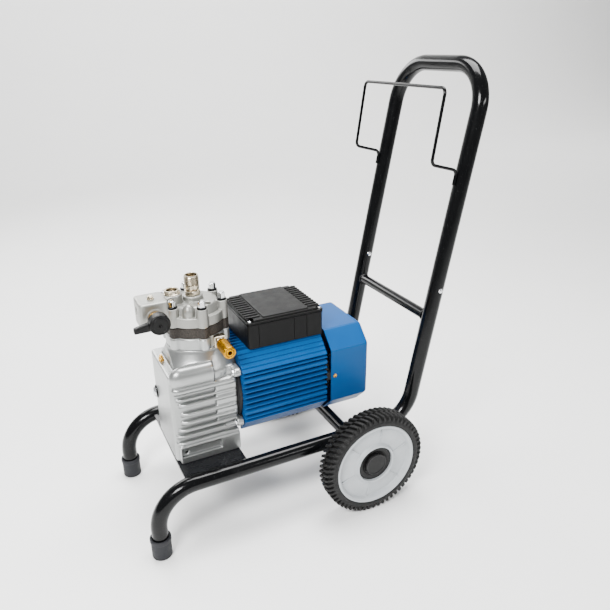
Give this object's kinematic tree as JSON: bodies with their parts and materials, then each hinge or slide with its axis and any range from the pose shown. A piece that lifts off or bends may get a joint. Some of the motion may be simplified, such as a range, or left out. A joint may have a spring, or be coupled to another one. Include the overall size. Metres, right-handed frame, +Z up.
{
  "type": "airless paint sprayer",
  "caption": "Electric diaphragm-pump airless paint sprayer on a wheeled tubular cart with a tall handle and hose rack.",
  "frame": {"origin": "on the floor, below the middle of the whole machine's bounding box", "axes": "+Z up, +X from the front feet towards the handle, +Y across the machine, away from the side that carries the prime valve lever and the pressure knob"},
  "size_m": [0.7454, 0.446, 0.8946],
  "materials": {
    "frame_tube": "gloss black powder coat on steel tube",
    "base_plate": "black powder coat on steel plate",
    "zinc_steel": "bright zinc plated steel",
    "chrome_screw": "chrome plated steel",
    "rubber_foot": "matt dark grey rubber",
    "tyre_rubber": "knobbly black tyre rubber",
    "rim_plastic": "moulded light grey polypropylene",
    "hub_plastic": "moulded black plastic",
    "cast_case": "satin die-cast aluminium",
    "cast_head": "blasted sand-cast aluminium",
    "ring_iron": "dark brown cast iron",
    "washer_black": "black oxide spring washer",
    "nickel_brass": "nickel plated brass",
    "brass": "turned brass",
    "gold_knob": "gold anodised aluminium, knurled",
    "lever_plastic": "moulded black nylon",
    "box_plastic": "moulded black plastic with fine grain",
    "rocker_plastic": "glossy black plastic",
    "blue_paint": "blue paint on aluminium",
    "black_casting": "black painted cast aluminium",
    "steel_core": "machined steel",
    "fan_plastic": "moulded black plastic",
    "diaphragm_rubber": "reinforced rubber",
    "capacitor_can": "grey plastic can"
  },
  "bodies": {
    "root": {"side_tube_left": "frame_tube", "side_tube_right": "frame_tube", "upper_handle": "frame_tube", "handle_cross_tube": "frame_tube", "rear_cross_tube": "frame_tube", "hose_rack": "frame_tube", "axle_tube": "frame_tube", "base_plate": "base_plate", "axle": "zinc_steel", "wheel_clips": "zinc_steel", "handle_sleeves": "zinc_steel", "crankcase_bolts": "zinc_steel", "handle_screws": "chrome_screw", "head_bolts": "chrome_screw", "drain_plug": "chrome_screw", "shield_screws": "chrome_screw", "lid_screws": "chrome_screw", "foot_cap_left": "rubber_foot", "foot_cap_right": "rubber_foot", "crankcase": "cast_case", "pump_flange": "cast_case", "pump_head": "cast_head", "diaphragm_ring": "ring_iron", "head_washers": "washer_black", "inlet_fitting": "nickel_brass", "outlet_valve_nut": "nickel_brass", "arm_screw": "nickel_brass", "regulator_body": "nickel_brass", "oil_filler_plug": "brass", "prime_valve_body": "brass", "fan_cover_screws": "brass", "terminal_box": "box_plastic", "terminal_box_lid": "box_plastic", "cable_gland": "box_plastic", "switch_frame": "box_plastic", "motor_housing": "blue_paint", "fan_cover": "blue_paint", "motor_front_shield": "black_casting", "motor_rear_shield": "black_casting", "stator": "steel_core", "motor_bearings": "steel_core", "piston_cylinder": "steel_core", "diaphragm": "diaphragm_rubber", "capacitor": "capacitor_can"},
    "wheel_left": {"tyre_left": "tyre_rubber", "rim_left": "rim_plastic", "hub_cap_left": "hub_plastic"},
    "wheel_right": {"tyre_right": "tyre_rubber", "rim_right": "rim_plastic", "hub_cap_right": "hub_plastic"},
    "motor_shaft": {"motor_shaft": "steel_core", "rotor": "steel_core", "cooling_fan": "fan_plastic", "eccentric": "steel_core"},
    "piston": {"piston": "steel_core"},
    "inlet_valve": {"inlet_valve": "steel_core"},
    "outlet_ball": {"outlet_ball": "steel_core"},
    "prime_valve_lever": {"prime_valve_lever": "lever_plastic"},
    "pressure_knob": {"pressure_knob": "gold_knob"},
    "switch_rocker": {"switch_rocker": "rocker_plastic"}
  },
  "joints": [
    {"name": "wheel_left_spin", "type": "hinge", "parent": "root", "child": "wheel_left", "pos_m": [0.08596, -0.2, 0.115], "axis": [0, 1, 0], "continuous": true},
    {"name": "wheel_right_spin", "type": "hinge", "parent": "root", "child": "wheel_right", "pos_m": [0.08596, 0.2, 0.115], "axis": [0, 1, 0], "continuous": true},
    {"name": "motor_shaft_spin", "type": "hinge", "parent": "root", "child": "motor_shaft", "pos_m": [-0.06405, 0, 0.272], "axis": [1, 0, 0], "continuous": true},
    {"name": "piston_slide", "type": "slide", "parent": "root", "child": "piston", "axis": [0, 0, 1], "range_m": [0, 0.008]},
    {"name": "inlet_valve_slide", "type": "slide", "parent": "root", "child": "inlet_valve", "axis": [0, 0, 1], "range_m": [-0.002, 0]},
    {"name": "outlet_ball_slide", "type": "slide", "parent": "root", "child": "outlet_ball", "axis": [0, 0, 1], "range_m": [0, 0.003]},
    {"name": "prime_valve_turn", "type": "hinge", "parent": "root", "child": "prime_valve_lever", "pos_m": [-0.29204, -0.06, 0.454], "axis": [0, -1, 0], "range_deg": [0, 90]},
    {"name": "pressure_knob_turn", "type": "hinge", "parent": "root", "child": "pressure_knob", "pos_m": [-0.18005, -0.09, 0.392], "axis": [0, -1, 0], "range_deg": [-180, 180]},
    {"name": "power_switch_tilt", "type": "hinge", "parent": "root", "child": "switch_rocker", "pos_m": [-0.02204, 0.0745, 0.3895], "axis": [1, 0, 0], "range_deg": [-12, 0]}
  ]
}
